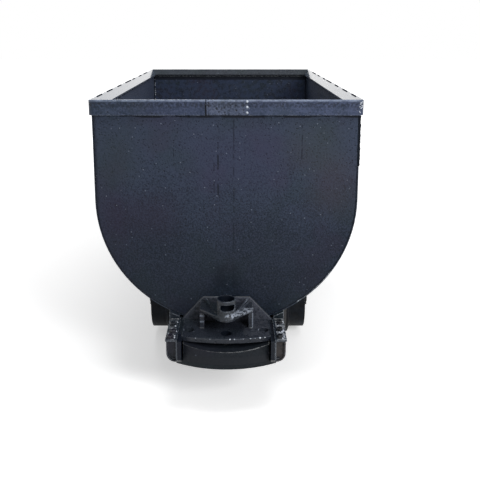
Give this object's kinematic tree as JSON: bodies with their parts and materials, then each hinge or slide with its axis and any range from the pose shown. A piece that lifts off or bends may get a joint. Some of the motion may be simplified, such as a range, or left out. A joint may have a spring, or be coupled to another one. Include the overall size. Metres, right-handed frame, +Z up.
{
  "type": "ore cart",
  "caption": "Fixed-body ore cart: a round-bottomed steel tub on channel sills, with flanged wheels and a coupling head at each end.",
  "frame": {"origin": "middle of the cart's footprint, on the level that the wheel flanges stand on, 26 mm under the rail tops", "axes": "+Y along the cart towards its rear end, +X across it, +Z up; the front end of the picture faces -Y"},
  "size_m": [1.06, 2.4, 1.2259],
  "materials": {
    "tub_paint": "bluish black paint with a coarse speckle",
    "rim_paint": "black paint over rough welds, glossy",
    "frame_paint": "black paint, satin",
    "head_paint": "thick black paint, slightly glossy",
    "block_paint": "matt black paint",
    "wheel_paint": "painted casting, dull",
    "axle_steel": "dull dark steel"
  },
  "bodies": {
    "cart": {"tub_shell": "tub_paint", "end_plate_front": "tub_paint", "end_plate_rear": "tub_paint", "rim_side_left": "rim_paint", "rim_side_right": "rim_paint", "rim_front_left": "rim_paint", "rim_front_insert": "rim_paint", "rim_front_right": "rim_paint", "rim_rear": "rim_paint", "sill_left": "frame_paint", "sill_right": "frame_paint", "sill_stops": "frame_paint", "saddles_left": "frame_paint", "saddles_right": "frame_paint", "cross_member_front": "frame_paint", "cross_member_middle": "frame_paint", "cross_member_rear": "frame_paint", "axle_seat_front_left": "frame_paint", "axle_seat_front_right": "frame_paint", "cheeks_front": "head_paint", "top_plate_front": "head_paint", "bottom_plate_front": "head_paint", "buffer_block_front": "block_paint", "back_plate_front": "head_paint", "pin_guide_front": "head_paint", "guide_posts_front": "head_paint", "axle_seat_rear_left": "frame_paint", "axle_seat_rear_right": "frame_paint", "cheeks_rear": "head_paint", "top_plate_rear": "head_paint", "bottom_plate_rear": "head_paint", "buffer_block_rear": "block_paint", "back_plate_rear": "head_paint", "pin_guide_rear": "head_paint", "guide_posts_rear": "head_paint"},
    "wheelset_front": {"axle_front": "axle_steel", "wheel_front_left": "wheel_paint", "wheel_front_right": "wheel_paint", "hub_caps_front": "wheel_paint"},
    "wheelset_rear": {"axle_rear": "axle_steel", "wheel_rear_left": "wheel_paint", "wheel_rear_right": "wheel_paint", "hub_caps_rear": "wheel_paint"}
  },
  "joints": [
    {"name": "wheelset_front_spin", "type": "hinge", "parent": "cart", "child": "wheelset_front", "pos_m": [0, -0.375, 0.176], "axis": [1, 0, 0], "continuous": true},
    {"name": "wheelset_rear_spin", "type": "hinge", "parent": "cart", "child": "wheelset_rear", "pos_m": [0, 0.375, 0.176], "axis": [1, 0, 0], "continuous": true}
  ]
}
